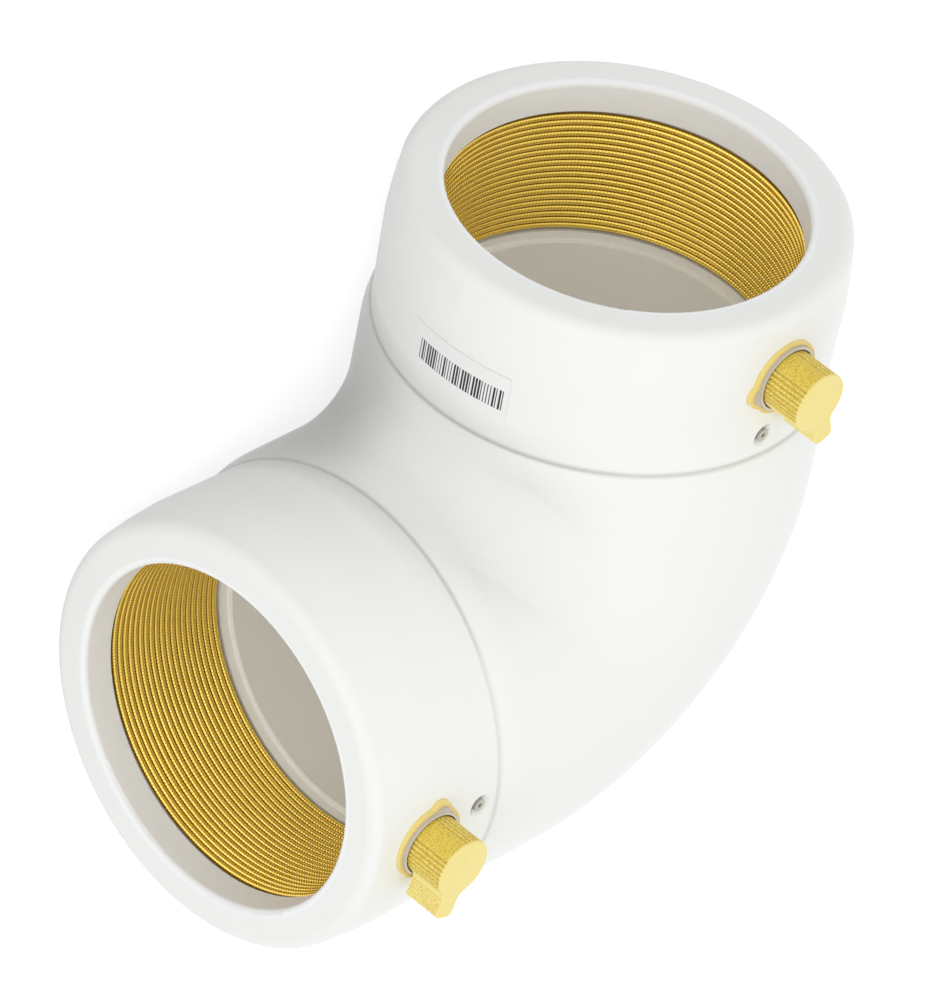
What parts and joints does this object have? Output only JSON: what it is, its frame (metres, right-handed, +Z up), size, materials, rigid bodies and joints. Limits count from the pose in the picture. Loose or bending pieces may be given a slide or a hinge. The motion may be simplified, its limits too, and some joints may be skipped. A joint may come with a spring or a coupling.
{
  "type": "electrofusion elbow",
  "caption": "Ninety degree electrofusion elbow in pale plastic with heating coils in both pipe sockets, capped contacts and fusion indicators.",
  "frame": {"origin": "under the middle of the lying fitting, on the surface it lies on", "axes": "+X out of socket A, +Y out of socket B, +Z up, the way both contacts point"},
  "size_m": [0.2164, 0.2164, 0.1576],
  "materials": {
    "pale_plastic": "satin moulded",
    "coil_wire": "bright drawn",
    "yellow_plastic": "satin moulded",
    "grey_white_plastic": "satin moulded",
    "contact_metal": "turned",
    "indicator_plastic": "satin moulded",
    "label_film": "matte film with plain bars"
  },
  "bodies": {
    "fitting": {"elbow_body": "pale_plastic", "heating_coil_a": "coil_wire", "heating_coil_b": "coil_wire", "contact_collar_a": "yellow_plastic", "contact_collar_b": "yellow_plastic", "contact_shroud_a": "grey_white_plastic", "contact_shroud_b": "grey_white_plastic", "contact_pin_a": "contact_metal", "contact_pin_b": "contact_metal", "fusion_indicator_a": "indicator_plastic", "fusion_indicator_b": "indicator_plastic", "barcode_label": "label_film"},
    "cap_a": {"contact_cap_a": "yellow_plastic"},
    "cap_b": {"contact_cap_b": "yellow_plastic"}
  },
  "joints": [
    {"name": "cap_a_lift", "type": "slide", "parent": "fitting", "child": "cap_a", "axis": [0, 0, 1], "range_m": [0, 0.03]},
    {"name": "cap_b_lift", "type": "slide", "parent": "fitting", "child": "cap_b", "axis": [0, 0, 1], "range_m": [0, 0.03]}
  ]
}
